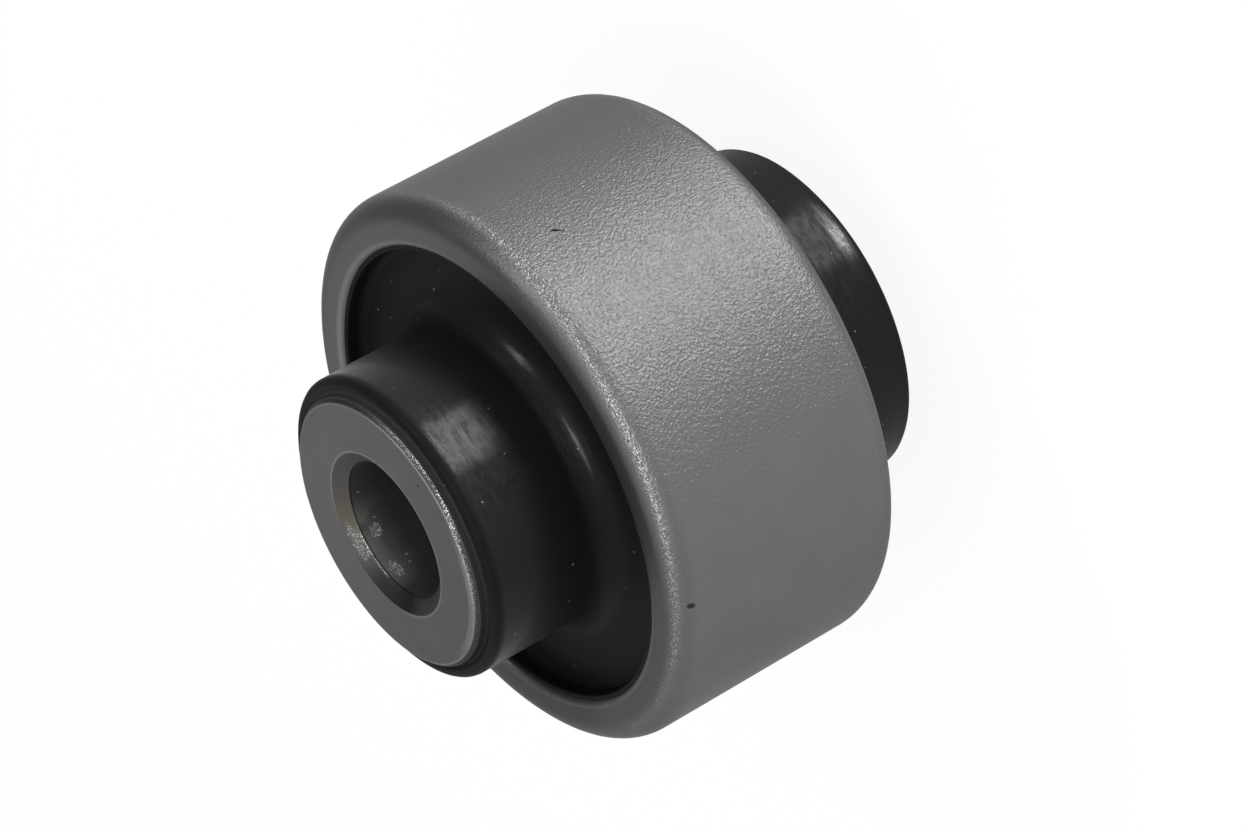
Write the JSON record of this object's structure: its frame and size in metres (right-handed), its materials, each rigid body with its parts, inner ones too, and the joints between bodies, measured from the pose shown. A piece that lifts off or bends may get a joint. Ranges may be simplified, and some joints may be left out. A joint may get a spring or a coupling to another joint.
{
  "type": "rubber metal bush",
  "caption": "Suspension arm bush: thick steel bolt tube and heavy steel outer sleeve with a rubber moulding bonded between them, rubber collars at both ends.",
  "frame": {"origin": "middle of the rear end face of the inner tube, which the bush stands on", "axes": "+Z along the bolt bore, from the rear end to the front end, where the rubber collar is slimmer"},
  "size_m": [0.057, 0.057, 0.051],
  "materials": {
    "tube_steel": "phosphated machined steel, matte dark grey, worn bright on the edge of the end face, bare glints in the bore",
    "bush_rubber": "black moulded rubber, semi-matte with a broad sheen, a few pale specks of dust",
    "sleeve_steel": "shot-blasted and phosphated steel, mid grey, fine grain, worn bright along the outside corner"
  },
  "bodies": {
    "root": {"inner_tube": "tube_steel", "rubber_body": "bush_rubber", "outer_sleeve": "sleeve_steel"}
  },
  "joints": []
}
